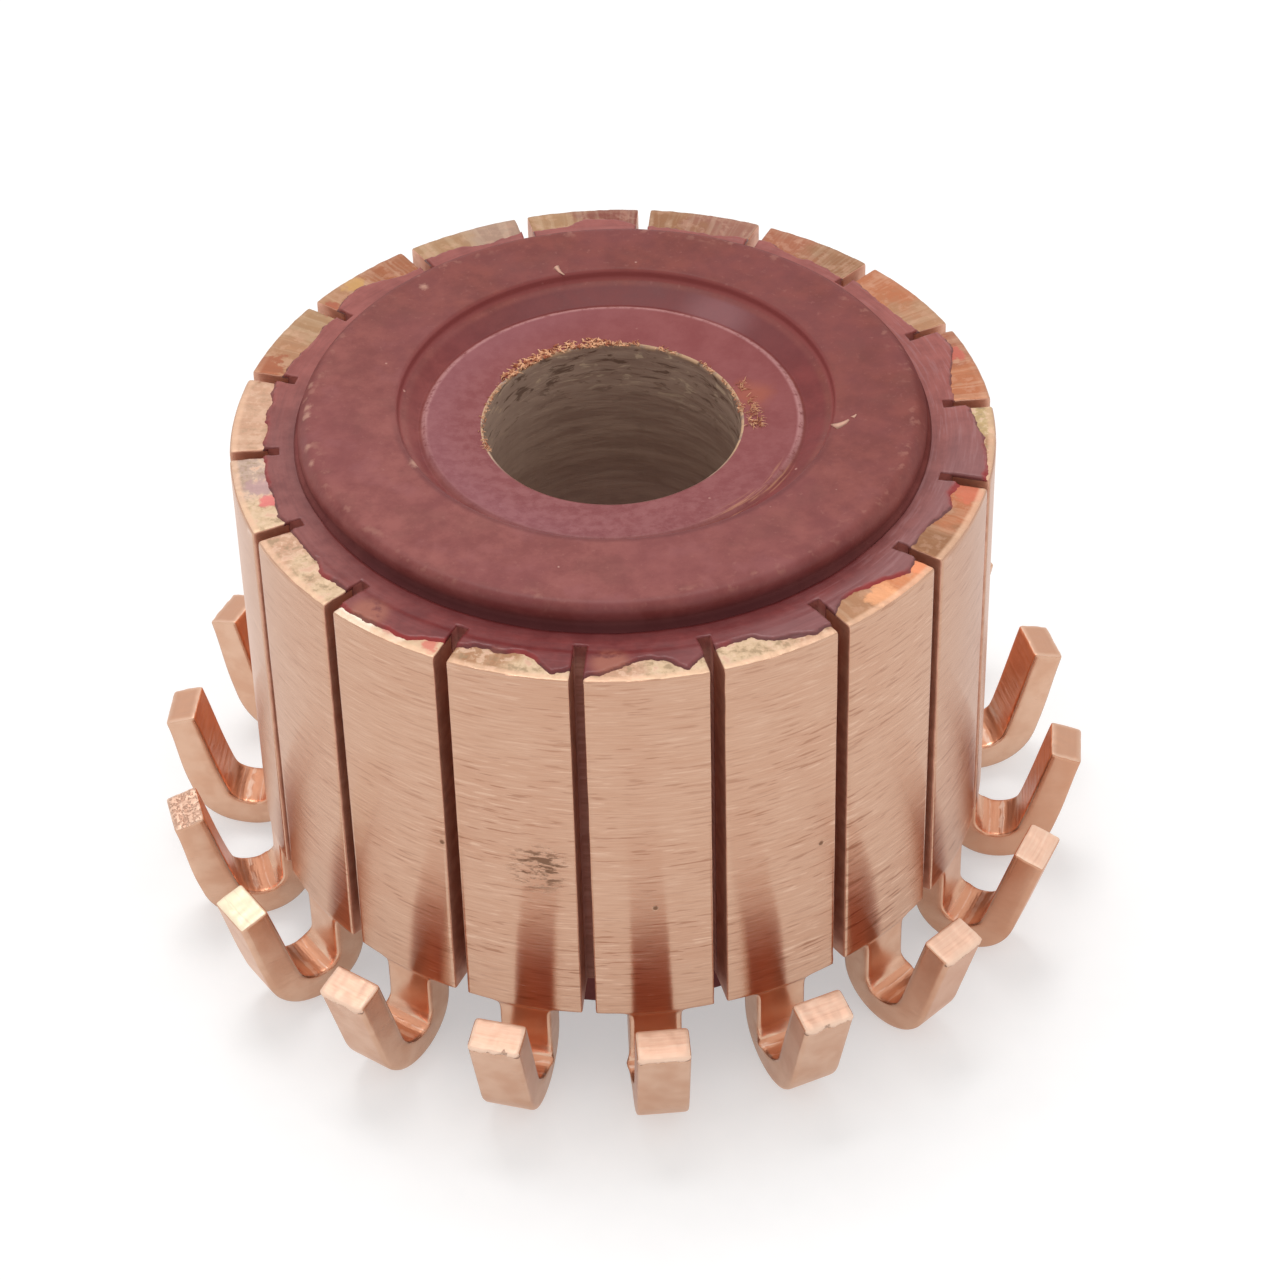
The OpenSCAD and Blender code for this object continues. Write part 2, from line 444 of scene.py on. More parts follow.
def mirrored(half):
    """Columns from one side to the other."""
    return [-v for v in half[:0:-1]] + list(half)


def slab_row(z, top):
    """Points of one row of the slab, columns by layers. The top row's outer edge is chamfered."""
    grid = np.zeros((2 * HALF + 1, len(layers), 3))
    for j, radius in enumerate(layers):
        if top and j >= len(layers) - 2:
            radius -= 0.03
        side = side_of(radius)
        half = columns_on_bar + [side - EDGE_HOLD, side]
        if j == 0:
            half = [1.5 * v for v in half]
        for i, y in enumerate(mirrored(half)):
            grid[i, j] = (math.sqrt(max(radius**2 - y**2, 1)), y, z)
    return grid


print("half width of a bar on the track:", round(side_of(TRACK_R), 3), "mm")


# %% The strip's rows
def strip_row(gap_side, far_side, half_width, bulge=0.0):
    """Points of one row of the tang or hook between its two faces, as (x, z) pairs."""
    grid = np.zeros((2 * HALF + 1, len(layers), 3))
    for depth, j in zip(depths, range(2, len(layers))):
        x, z = (np.array(far_side) + depth * (np.array(gap_side) - np.array(far_side))).tolist()
        widen = half_width / TANG_HALF + bulge * depth**2
        for i, y in enumerate(mirrored([v * widen for v in columns_on_tang])):
            grid[HALF - len(columns_on_tang) + 1 + i, j] = (x, y, z)
    return grid


def hook_rows():
    """Rows of the tang, the bend and the arm, from the bar's foot to the tip."""
    rows = []
    # Each row's drop below the bar's foot, and half its width: the tang flares into the bar
    for drop, half_width in [(0.07, 0.91), (0.18, 0.85), (0.34, TANG_HALF), (0.7, TANG_HALF), (1.15, TANG_HALF)]:
        z = BAR_FOOT_Z - drop
        rows.append(strip_row((TANG_X, z), (TANG_X - HOOK_T, z), half_width))
    lift = BEND_THIN / (math.cos(ARM_LEAN / 2) - math.sin(ARM_LEAN / 2))
    round_r = BEND_R + HOOK_T + lift * math.sin(ARM_LEAN / 2)
    round_x = BEND_X + lift * math.sin(ARM_LEAN / 2)
    round_z = BEND_Z + lift * math.cos(ARM_LEAN / 2)
    for step in np.linspace(0, 1, 15):
        turn = math.pi + step * (math.pi - ARM_LEAN)
        gap = (BEND_X + BEND_R * math.cos(turn), BEND_Z + BEND_FLAT * BEND_R * math.sin(turn))
        far = (round_x + round_r * math.cos(turn), round_z + round_r * math.sin(turn))
        rows.append(strip_row(gap, far, TANG_HALF, 0.1 * math.sin(step * math.pi)))
    along = np.array((math.sin(ARM_LEAN), math.cos(ARM_LEAN)))
    across = np.array((math.cos(ARM_LEAN), -math.sin(ARM_LEAN)))
    for reach in [0.3, 0.75, 1.25, 1.75, 2.25, 2.75, 3.02, 3.16, 3.28, 3.39, ARM_LEN]:
        inner = np.array((BEND_X, BEND_Z)) + BEND_R * across + reach * along
        rows.append(strip_row(inner, inner + HOOK_T * across, TANG_HALF))
    return rows


print("rows on a hook:", len(hook_rows()))

# %% [markdown]
# ## Skinning the lattice
# Only the cells that are copper are filled: the slab, the dovetail root behind it and the strip of the tang and hook.
# A cell's side belongs to the skin where the cell beside it is empty. Each side also says which tool made it, and that
# picks its finish.

# %% Fill the cells
def bar_lattice():
    """Lattice points and the filled cells of one bar."""
    slabs = [slab_row(z, n == 0) for n, z in enumerate(rows_on_bar)]
    points = np.stack(slabs + hook_rows(), axis=2)
    filled = np.zeros(np.array(points.shape[:3]) - 1, bool)
    foot = len(rows_on_bar) - 1
    filled[:, 1:, :foot] = True
    filled[HALF - ON_TANG:HALF + ON_TANG, 2:, foot:] = True
    first, last = rows_on_bar.index(ROOT_TOP_Z), rows_on_bar.index(ROOT_FOOT_Z)
    filled[HALF - ON_ROOT:HALF + ON_ROOT, 0, first:last] = True
    return points, filled, foot


print("cells filled on a bar:", int(bar_lattice()[1].sum()))


# %% Skin the cells
BEND_FROM = 9


def skin_faces(filled):
    """Corner indices of each outside face, with the cell it bounds and the direction it faces."""
    padded = np.pad(filled, 1)
    for axis in range(3):
        for side in (0, 1):
            beside = np.roll(padded, -1 if side else 1, axis)[1:-1, 1:-1, 1:-1]
            steps = [np.insert(corner, axis, side) for corner in ((0, 0), (1, 0), (1, 1), (0, 1))]
            for cell in np.argwhere(filled & ~beside):
                yield [tuple((cell + step).tolist()) for step in steps], cell, axis, side


def face_finish(cell, axis, side, foot, last_row):
    """The finish of a face of the cage."""
    if axis == 2 and cell[2] == 0 and side == 0:
        return END
    if axis == 2 and cell[2] == last_row and side == 1:
        return SHEARED
    on_slab = cell[2] < foot
    outer = axis == 1 and side == 1
    if on_slab:
        return TRACK if outer else SAWN
    return BENT if outer and cell[2] > foot + BEND_FROM else TRACK


def bar_cage():
    """The cage of one bar as a mesh, with the part's X axis through the middle of the bar."""
    points, filled, foot = bar_lattice()
    cage = bmesh.new()
    verts = {}
    for corners, cell, axis, side in skin_faces(filled):
        for corner in corners:
            if corner not in verts:
                verts[corner] = cage.verts.new(points[corner])
        face = cage.faces.new([verts[c] for c in corners])
        face.material_index = face_finish(cell, axis, side, foot, filled.shape[2] - 1)
        face.smooth = True
    bmesh.ops.recalc_face_normals(cage, faces=cage.faces)
    mesh = bpy.data.meshes.new("bar_cage")
    cage.to_mesh(mesh)
    cage.free()
    return mesh


cage_mesh = bar_cage()
print("faces in the cage of a bar:", len(cage_mesh.polygons))

# %% [markdown]
# ## Eighteen bars
# One Subdivision modifier on the cage gives the smooth bar, and its result is read back once. Each bar is then a copy
# that is turned to its place, and small moves in code make it its own: torn tips with a ragged lip, ears squeezed out
# of the bend, bowed arms and nicked edges. Blender's own noise is fixed, so every run gives the same bars.

# %% Subdivide once
def subdivided(mesh, levels):
    """Points in mm, faces and finishes of a cage after subdivision."""
    holder = show(bpy.data.objects.new("holder", mesh))
    holder.modifiers.new("smooth", "SUBSURF").levels = levels
    smooth = bpy.data.meshes.new_from_object(holder.evaluated_get(bpy.context.evaluated_depsgraph_get()))
    points = np.array([v.co for v in smooth.vertices])
    faces = [tuple(p.vertices) for p in smooth.polygons]
    finishes = [p.material_index for p in smooth.polygons]
    bpy.data.objects.remove(holder)
    bpy.data.meshes.remove(smooth)
    bpy.data.meshes.remove(mesh)
    return points, faces, finishes


bar_points, bar_faces, bar_face_finishes = subdivided(cage_mesh, 1)
print("faces on a smooth bar:", len(bar_faces))


# %% Helpers for moves in code
def rise(value, low, high):
    """0 up to low, 1 from high on, and smooth between them."""
    step = np.clip((value - low) / (high - low), 0, 1)
    return step * step * (3 - 2 * step)


def lumps(points, size, seed, octaves=3):
    """Noise of about -1 to 1 at points in mm, with lumps of that size."""
    shift = Vector((seed * 7.31, seed * 3.17, seed * 5.73))
    return np.array([noise.fractal(Vector(p) / size + shift, 1.0, 2.0, octaves) for p in points])


def add_piece(name, points, faces, finishes, face_finishes):
    """A new piece from points in mm, which rides on the part's one body."""
    mesh = bpy.data.meshes.new(name)
    mesh.from_pydata((np.asarray(points) * MM).tolist(), [], faces)
    for finish in finishes:
        mesh.materials.append(finish)
    mesh.polygons.foreach_set("material_index", np.asarray(face_finishes, np.int32))
    mesh.polygons.foreach_set("use_smooth", np.ones(len(mesh.polygons), bool))
    mesh.update()
    piece = show(bpy.data.objects.new(name, mesh))
    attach(piece, "root")
    return piece


print("helpers are ready")

# %% [markdown]
# ## What each bar's end looks like
# The moulding left a thin ragged film of resin on the bars' ends, and what it leaves bare is stained. Both are drawn
# for each bar: how far the film reaches outward at seven places across the bar, from 0 at the copper's inner edge to 1
# at the track, and the tint of the bare copper on either side of the bar. Places across a bar are counted from its
# clockwise side, seen from above. The last word is the tint of the hook's tip.

# %% Sketch of the bar ends
TINTS = {
    "cream": (216, 184, 149), "white": (255, 244, 222), "tan": (176, 126, 90), "orange": (184, 110, 70),
    "blush": (202, 156, 127), "olive": (170, 128, 90), "straw": (190, 160, 112), "rust": (166, 98, 68),
    "grey": (188, 158, 142), "dun": (168, 134, 114), "skin": (132, 66, 52), "umber": (152, 102, 66),
    "clay": (152, 98, 80), "amber": (160, 91, 53), "apricot": (212, 134, 88),
    "peach": (241, 198, 172), "brown": (204, 156, 128), "butter": (252, 240, 208), "lip": (255, 226, 202),
}
TINTS = {name: np.array(tone(*tint)) for name, tint in TINTS.items()}
END_SKETCH = {
    "bar_01": ([0.9, 0.85, 0.8, 0.7, 0.6, 0.45, 0.4], "tan", "straw", "brown"),
    "bar_02": ([0.0, 0.05, 0.15, 0.35, 0.5, 0.65, 0.6], "orange", "rust", "brown"),
    "bar_03": ([0.15, 0.05, 0.0, 0.0, 0.0, 0.1, 0.2], "tan", "orange", "brown"),
    "bar_04": ([0.0, 0.05, 0.1, 0.05, 0.1, 0.2, 0.25], "umber", "rust", "peach"),
    "bar_05": ([0.2, 0.15, 0.05, 0.05, 0.1, 0.15, 0.15], "clay", "umber", "brown"),
    "bar_06": ([0.2, 0.45, 0.5, 0.5, 0.25, 0.2, 0.2], "skin", "olive", "peach"),
    "bar_07": ([0.3, 0.15, 0.1, 0.15, 0.25, 0.25, 0.3], "dun", "olive", "brown"),
    "bar_08": ([0.1, 0.0, 0.2, 0.35, 0.45, 0.4, 0.25], "amber", "tan", "peach"),
    "bar_09": ([0.05, 0.1, 0.05, 0.0, 0.1, 0.15, 0.15], "olive", "tan", "brown"),
    "bar_10": ([0.25, 0.2, 0.1, 0.15, 0.05, 0.05, 0.1], "blush", "blush", "brown"),
    "bar_11": ([0.15, 0.1, 0.1, 0.05, 0.1, 0.15, 0.15], "grey", "cream", "peach"),
    "bar_12": ([0.1, 0.1, 0.1, 0.05, 0.3, 0.2, 0.2], "blush", "cream", "butter"),
    "bar_13": ([0.7, 0.7, 0.7, 0.65, 0.75, 0.5, 0.4], "white", "cream", "peach"),
    "bar_14": ([0.4, 0.2, 0.3, 0.15, 0.25, 0.75, 0.6], "tan", "cream", "peach"),
    "bar_15": ([0.8, 0.7, 0.45, 0.25, 0.3, 0.75, 0.4], "blush", "cream", "peach"),
    "bar_16": ([0.2, 0.1, 0.15, 0.45, 0.55, 0.7, 0.7], "cream", "blush", "peach"),
    "bar_17": ([0.4, 0.1, 0.1, 0.2, 0.4, 0.6, 0.4], "tan", "apricot", "peach"),
    "bar_18": ([0.05, 0.05, 0.05, 0.25, 0.35, 0.15, 0.25], "umber", "orange", "peach"),
}
PITTED_TIPS = ["bar_11", "bar_06"]
HALF_CUT_TIP = "bar_15"
MOTTLED_ENDS = {"bar_01": 1.0, "bar_10": 0.5, "bar_11": 1.0, "bar_12": 1.0, "bar_13": 0.3,
                "bar_14": 1.0, "bar_15": 1.0, "bar_16": 1.0}
PLAIN_END = 0.15


def film_reach(name, across):
    """How far the film reaches on a bar at places from -1 to 1 across it."""
    reach = END_SKETCH[name][0]
    return np.interp(across, np.linspace(-1, 1, len(reach)), reach)


print("bar ends sketched:", len(END_SKETCH))


# %% Torn tips
TORN_LIPS = {"bar_13": 0.08, "bar_14": 0.07, "bar_15": 0.06, "bar_16": 0.08, "bar_17": 0.07}


def arm_place(points):
    """How far points lie along a hook's arm, and through it from its inner face."""
    x, z = points[:, 0] - BEND_X, points[:, 2] - BEND_Z
    along = np.where(x > 0, x * math.sin(ARM_LEAN) + z * math.cos(ARM_LEAN), 0)
    return along, x * math.cos(ARM_LEAN) - z * math.sin(ARM_LEAN) - BEND_R


def lip_line(index, across):
    """How far along the arm the torn lip of the tip begins, at places across the hook."""
    places = np.column_stack([across, np.zeros(len(across)), np.zeros(len(across))])
    return ARM_LEN - 0.15 + 0.12 * lumps(places, 0.28, index + 120)


def tear_tip(points, index, name):
    """Roughens the tip of a hook, and pulls out the lip that the shears left."""
    along, through = arm_place(points)
    on_tip = rise(along, ARM_LEN - 0.12, ARM_LEN - 0.03)
    depth = 0.06 if name in PITTED_TIPS else 0.03
    pull = on_tip * (lumps(points, 0.3, index + 1) * depth - 0.03)
    line = lip_line(index, points[:, 1])
    lip = 1.3 * rise(along, line - 0.02, line + 0.03) - 0.3 * rise(along, line - 0.14, line - 0.04)
    lip *= rise(through, HOOK_T - 0.2, HOOK_T - 0.02) * TORN_LIPS.get(name, 0.0)
    lip *= 1 - 0.7 * rise(np.abs(points[:, 1]), 0.6, 0.8)
    points[:, 0] += pull * math.sin(ARM_LEAN) + lip * math.cos(ARM_LEAN)
    points[:, 2] += pull * math.cos(ARM_LEAN) - lip * math.sin(ARM_LEAN)


print("hooks with a torn lip:", len(TORN_LIPS))


# %% Ears, bowed arms and nicked edges
EARS = {"bar_14": 1, "bar_15": -1, "bar_16": -1}
EAR_TURN = math.radians(228)
BOWED_ARMS = {"bar_01": 0.12, "bar_02": 0.12, "bar_09": 0.2, "bar_10": 0.25, "bar_11": 0.22, "bar_12": 0.1}


def raise_ears(points, index, name):
    """Squeezes a small ear out of the inside of the bend, large on some hooks."""
    x, z = points[:, 0] - BEND_X, points[:, 2] - BEND_Z
    turn = np.arctan2(z, x) % (2 * math.pi)
    inner = np.exp(-((np.hypot(x, z / BEND_FLAT) - BEND_R - 0.1) / 0.24) ** 2)
    for side in (-1, 1):
        size = 0.09 if EARS.get(name) == side else 0.03
        where = np.exp(-((turn - EAR_TURN) / 0.3) ** 2) * inner * rise(side * points[:, 1], 0.2, 0.62)
        where *= size * (1 + 0.5 * lumps(points, 0.2, index + 60))
        points[:, 0] -= where * 0.5 * np.cos(turn)
        points[:, 1] += where * side
        points[:, 2] -= where * 0.5 * np.sin(turn)


def bow_arm(points, name):
    """Bows the lower arm of some hooks outward, since no two were bent quite alike."""
    along, through = arm_place(points)
    reach = BOWED_ARMS.get(name, 0.0) * rise(points[:, 0], BEND_X, BEND_X + 0.8) * (1 - rise(along, 0.8, ARM_LEN))
    points[:, 0] += reach * (0.4 + 0.6 * np.clip(through / HOOK_T, 0, 1))


def bar_shape(index, name):
    """Points of one bar at the +X place, with its own small marks."""
    points = bar_points.copy()
    tear_tip(points, index, name)
    raise_ears(points, index, name)
    bow_arm(points, name)
    y, z = points[:, 1], points[:, 2]
    on_end = rise(z, BAR_TOP_Z - 0.12, BAR_TOP_Z - 0.02)
    points[:, 2] += on_end * (lumps(points, 0.3, index + 40) * 0.02 - 0.01)
    by_slot = rise(np.abs(y), side_of(TRACK_R) - 0.08, side_of(TRACK_R)) * (z > BAR_FOOT_Z)
    points[:, 1] -= np.sign(y) * by_slot * np.abs(lumps(points, 0.4, index + 80)) * 0.02
    return points


print("hooks with a large ear:", len(EARS), "and with a bowed arm:", len(BOWED_ARMS))


# %% Paint and finishes of one bar
def paint_ends(piece, index, name, local):
    """Stains the end of a bar from the tint of one side to the tint of the other, and the tip of its hook, with painted
    highlights on the tip's edges and a painted shadow under a torn lip.
    """
    first, second, tip = (TINTS[t] for t in END_SKETCH[name][1:])
    across = local[:, 1] / side_of(TRACK_R)
    share = rise(across + 0.6 * lumps(local, 0.8, index + 6), -0.35, 0.35)[:, None]
    colours = first + (second - first) * share
    along, through = arm_place(local)
    # painted highlights: the tip's edges are lightened toward the lip tint
    by_edge = np.maximum(rise(np.abs(local[:, 1]), 0.62, 0.8), rise(np.abs(through - HOOK_T / 2), 0.36, 0.5))
    on_hook = local[:, 0] > BEND_X
    colours[on_hook] = (tip + np.outer(by_edge * 0.4, TINTS["lip"] - tip))[on_hook]
    if name == HALF_CUT_TIP:
        colours[on_hook] -= np.outer(0.4 * (1 - rise(through, 0.5, 0.7)), tip - TINTS["brown"])[on_hook]
    colours[:, 3] = MOTTLED_ENDS.get(name, PLAIN_END)
    colours[local[:, 2] < BAR_TOP_Z - 1, 3] = 0.0
    on_tip = on_hook & (along > ARM_LEN - 0.1)
    colours[on_tip, 3] = 0.75 if name in PITTED_TIPS else 0.0 if END_SKETCH[name][3] == "brown" else 0.3
    # painted shadow under the torn lip, marked in the alpha
    if name in TORN_LIPS:
        line = lip_line(index, local[:, 1])
        colours[(through > HOOK_T - 0.16) & (along > line - 0.11) & (along < line + 0.02), 3] = 1.0
    paint = piece.data.color_attributes.new("stain_and_light", "FLOAT_COLOR", "POINT")
    paint.data.foreach_set("color", colours.astype(np.float32).ravel())


def own_finishes(index, name):
    """Finishes of a bar's faces. On a torn tip the sheared face laps over the outer edge as a ragged lip."""
    finishes = np.array(bar_face_finishes)
    if name in TORN_LIPS:
        along, through = arm_place(face_middles)
        finishes[(through > HOOK_T - 0.1) & (along > lip_line(index, face_middles[:, 1]) - 0.05)] = SHEARED
    return finishes


face_middles = np.array([bar_points[list(face)].mean(axis=0) for face in bar_faces])
print("faces to finish on a bar:", len(face_middles))


# %% Make the bars
def turned(points, angle):
    """Points turned about the bore's axis."""
    return points @ np.array(Matrix.Rotation(angle, 3, "Z")).T


for index, name in enumerate(bar_names):
    local = bar_shape(index, name)
    bar = add_piece("copper_" + name, turned(local, index * PITCH), bar_faces, bar_finishes,
                    own_finishes(index, name))
    paint_ends(bar, index, name, local)
    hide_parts(name)
print("bars made:", len(bar_names))

# %% [markdown]
# ## Resin
# The hub is a maroon phenolic moulding, satin and faintly mottled, with pale specks of its filler. Its colour drifts
# over the part: mauve and pitted on the boss, and redder in the cove. Shade is painted dark under the edge of the face
# and in a ring at the cove's edge, light on the cove's wall at the back, and highlights on the boss's lip and in the
# cove. Pale marks, the scratched lip of the boss and the torn patch beside the bore have places of their own. One
# material with masks of the place does this, so neighbouring areas flow into each other as they do in a real moulding.

# %% Tones of the face, the boss and the cove
# Place of a painted highlight on the cove's floor
PAINTED_COVE_SHINE = (2.9, 5.6, 17.45)


def face_tone(place, mottle, brushed, front):
    """Colour of the raised face, paler toward the front."""
    patches = place.clouds(0.6, 4.0, 0.6)
    ground = shades(mottle, (116, 52, 46), (136, 67, 57))
    return coated(
        (front * 0.7).mix(ground, shades(mottle, (139, 73, 70), (164, 97, 92))),
        (place.clouds(0.35).rise(0.4, 0.65) * 0.4, (132, 66, 68)),
        (patches.rise(0.52, 0.66) * 0.25, (118, 65, 58)),
        ((1 - patches).rise(0.53, 0.66) * front * 0.3, (154, 91, 92)),
        (brushed.rise(0.58, 0.72) * 0.3, (166, 107, 98)))


def boss_tone(place, mottle, brushed, pitted, front):
    """Colour of the boss, pitted at the front and mauve by the lip at the left."""
    boss = shades(pitted, (131, 67, 70), (156, 97, 98), 0.36, 0.64)
    boss = coated(boss, (brushed.rise(0.6, 0.72) * 0.4, (176, 126, 130)))
    boss = (1 - front * 0.8).mix(boss, shades(mottle, (136, 62, 62), (146, 76, 76)))
    mauve = place.from_axis().rise(4.4, 5.6) * place.parts()[0].fall(-4.0, 2.0)
    return coated(boss, (mauve * 0.28, (160, 104, 114)))


def cove_tone(place, mottle):
    """Colour of the cove, dark at the back apart from a painted highlight."""
    return coated(
        shades(mottle, (114, 40, 41), (130, 51, 52)),
        (place.parts()[1].rise(2.0, 5.0) * 0.6, (98, 43, 45)),
        (place.near(PAINTED_COVE_SHINE, 0.3, 1.7) * 0.5, (160, 110, 114)))


print("tones of the moulding are ready")


# %% Moulded resin
SATIN = {"Specular IOR Level": 0.25}
SCRATCHED_LIP = (4.7, -3.5, 17.5)
TORN_PATCH = (4.25, 1.6, 17.42)
COVE_SHIFT = (0.09, 0.35)
# Place and reach in mm of each mark
PALE_MARKS = [
    ((-9.57, 0.54, 18.0), 0.22), ((-9.69, -0.15, 17.95), 0.2), ((-9.44, -0.65, 18.03), 0.2),
    ((-9.43, -1.07, 18.03), 0.24), ((-9.18, -2.61, 18.03), 0.22), ((-8.95, -3.34, 18.03), 0.2),
    ((-6.59, 5.82, 18.05), 0.22), ((-5.7, -3.2, 18.0), 0.32), ((-5.69, 2.84, 17.7), 0.16),
]


def moulded_resin():
    made, place = start_finish("moulded_resin", SATIN)
    x, y, z = place.parts()
    radius, from_cove = place.from_axis(), place.from_axis(*COVE_SHIFT)
    mottle, brushed = place.clouds(1.1, 5.0, 0.65), place.clouds(5.0, 4.0, 0.7)
    pitted = place.clouds(2.4, 4.0, 0.65)
    front, behind, toward = (y + x * 0.5).fall(-8.0, 8.0), y.rise(-3.6, 0.5), y.fall(-9.0, -1.0)
    on_boss = radius.fall(5.7, 5.95)
    in_cove = radius.rise(5.95, 6.05) * from_cove.fall(6.4, 6.6)
    colour = face_tone(place, mottle, brushed, front)
    colour = (on_boss * 0.9).mix(colour, boss_tone(place, mottle, brushed, pitted, front))
    colour = (in_cove * (0.8 - front * 0.4)).mix(colour, cove_tone(place, mottle))
    lip = radius.band(5.7, 5.82, 5.88, 5.97) * brushed.rise(0.3, 0.55)
    lines = place.joined(radius * 16, x * 0.6, y * 0.6).clouds(1.0, 2.0).rise(0.51, 0.6)
    scratched = place.near(SCRATCHED_LIP, 1.2, 2.3) * lines * radius.band(5.5, 5.7, 6.0, 6.1)
    smear = (place.far_from(TORN_PATCH) + (mottle - 0.5) * 1.2).fall(0.2, 0.95) * on_boss
    by_edge = radius.rise(8.9, 9.35) * z.rise(17.85, 18.0) * place.clouds(2.4).rise(0.56, 0.7)
    colour = coated(
        colour,
        # painted light on the cove's outer wall at the back, which faces away from the lamp
        (from_cove.band(6.64, 6.76, 6.76, 6.88) * behind * 0.8, (152, 76, 74)),
        # painted shade in a ring at the cove's edge at the front and sides
        (from_cove.band(6.7, 6.8, 6.92, 7.08) * (1 - behind) * 0.45, (94, 36, 40)),
        # painted highlight along the boss's lip, strongest at the back
        (lip * (0.1 + behind * 0.5), (212, 158, 156)),
        (scratched * 0.55, (196, 138, 104)),
        (smear * 0.6, (172, 92, 66)),
        (by_edge * 0.4, (182, 126, 110)))
    for spot, reach in PALE_MARKS:
        mark = (place.far_from(spot) + (brushed - 0.5) * (1.6 * reach)).fall(0.2 * reach, reach)
        colour = coated(colour, (mark * 0.7, (204, 154, 134)))
    on_wall = radius.band(9.3, 9.4, 9.85, 9.95) * z.fall(17.16, 17.64)
    shaded_back_edge = radius.rise(9.3, 9.6) * y.rise(-3.0, 2.0)
    specks = place.cells(1.1).fall(0.03, 0.07) * place.clouds(0.8, 1.0).rise(0.5, 0.6)
    colour = coated(
        colour,
        # painted shade on the face's outer edge toward the front
        (radius.rise(9.15, 9.55) * toward * 0.3, (100, 38, 40)),
        # painted shade at the foot of the face's wall, deepest toward the front
        (on_wall * (0.1 + toward * 0.7), (68, 25, 28)),
        # painted shade on the face's edge at the back, where roughness also dulls its highlight
        (shaded_back_edge * 0.4, (98, 42, 42)),
        (specks * 0.8, (214, 160, 146)))
    roughness = 0.4 + mottle * 0.16 + shaded_back_edge * 0.4 + on_wall * 0.45
    return end_finish(made, colour, roughness,
                      brushed * 0.006 + mottle * 0.012 + specks * 0.02 + pitted * on_boss * front * 0.04)


print("the moulded finish is ready")


# %% Bored and sawn resin
def bored_resin():
    made, place = start_finish("bored_resin", SATIN)
    x, y, z = place.parts()
    by_rim = z.rise(14.6, 16.8)
    rings = place.scaled(0.4, 0.4, 3.4).clouds(1.0, 4.0, 0.6)
    strokes = place.scaled(1.3, 1.3, 4.5).clouds(1.0, 4.0, 0.6, 0.8)
    torn_rim = z.rise(17.2, 17.34) * y.rise(-2.6, -0.6) * place.clouds(2.5).rise(0.38, 0.52)
    colour = coated(
        shades(rings, (160, 131, 115), (182, 154, 136), 0.35, 0.65),
        # painted light: paler deeper in the bore, where little light reaches
        (z.fall(9, 14) * 0.6, (216, 186, 176)),
        (x.fall(-4.2, -1.5) * 0.4, (222, 196, 176)),
        (strokes.rise(0.54, 0.64) * (0.1 + by_rim * 0.7), (104, 78, 62)),
        ((1 - strokes).rise(0.57, 0.68) * by_rim * 0.65, (228, 204, 172)),
        (z.rise(16.95, 17.2) * y.fall(-3.3, -1.3) * 0.85, (122, 54, 54)),
        (torn_rim * 0.85, (208, 168, 132)))
    return end_finish(made, colour, 0.6 + rings * 0.2, rings * 0.04 + strokes * 0.015)


def sawn_resin():
    made, place = start_finish("sawn_resin", SATIN)
    saw = place.scaled(1.5, 1.5, 9).clouds()
    slot_top_shade = place.parts()[2].rise(16.2, 17.0)
    # painted shade at the top of the slot's floor, where the light reaches it
    colour = coated(shades(saw, (186, 132, 117), (208, 155, 139)), (slot_top_shade * 0.9, (128, 56, 48)))
    return end_finish(made, colour, 0.6 + saw * 0.2, saw * 0.01)


hub_finishes = [moulded_resin(), bored_resin(), sawn_resin()]
MOULDED, BORED, SAWN_RESIN = range(len(hub_finishes))
print("finishes on the hub:", [f.name for f in hub_finishes])

# %% [markdown]
# ## The hub
# The hub is round, so it is a lathe: one outline swept about the bore. Each corner of the outline has its place, its
# rounding and the spacing of points after it, since even a sharp moulding has a small radius that catches light. The
# raised face has a dark undercut where it meets the ledge. The saw also cut the slots into the hub, so the columns of
# the sweep that lie in a slot stop at the slot's floor. Moving the points then scores the bore's wall and sets the cove
# a little off centre, as it is on the real part.

# %% The hub's outline
FACE_Z = 18.06
BORE_R = 4.0
BORE_TOP_Z = 17.37
SLOT_FLOOR_R = 10.35
FACE_R = 9.7
FOOT_R = 8.2
BOSS_R = 5.9
BOSS_LIP_Z = 17.52
COVE_OUT_R = 6.75
COVE_FLOOR_Z = 17.4
WALL_IN_R = 9.52
LEDGE_IN_R = 9.82
# Radius, height, rounding, and spacing of the points after each corner
corners = [
    (BORE_R, 0, 0.12, 0.5), (BORE_R, BORE_TOP_Z, 0.1, 0.14), (BOSS_R - 0.1, BOSS_LIP_Z, 0.12, 0.1),
    (BOSS_R + 0.14, COVE_FLOOR_Z, 0.1, 0.1), (COVE_OUT_R, 17.74, 0.2, 0.08), (COVE_OUT_R + 0.05, FACE_Z, 0.14, 0.14),
    (FACE_R, FACE_Z, 0.32, 0.1), (WALL_IN_R, 17.3, 0.12, 0.1), (LEDGE_IN_R, BAR_TOP_Z, 0.06, 0.2),
    (BAR_IN_R, BAR_TOP_Z, 0, 2), (BAR_IN_R, BAR_FOOT_Z, 0, 1), (FOOT_R, BAR_FOOT_Z, 0.1, 1), (FOOT_R, 0, 0.15, 0.8),
]


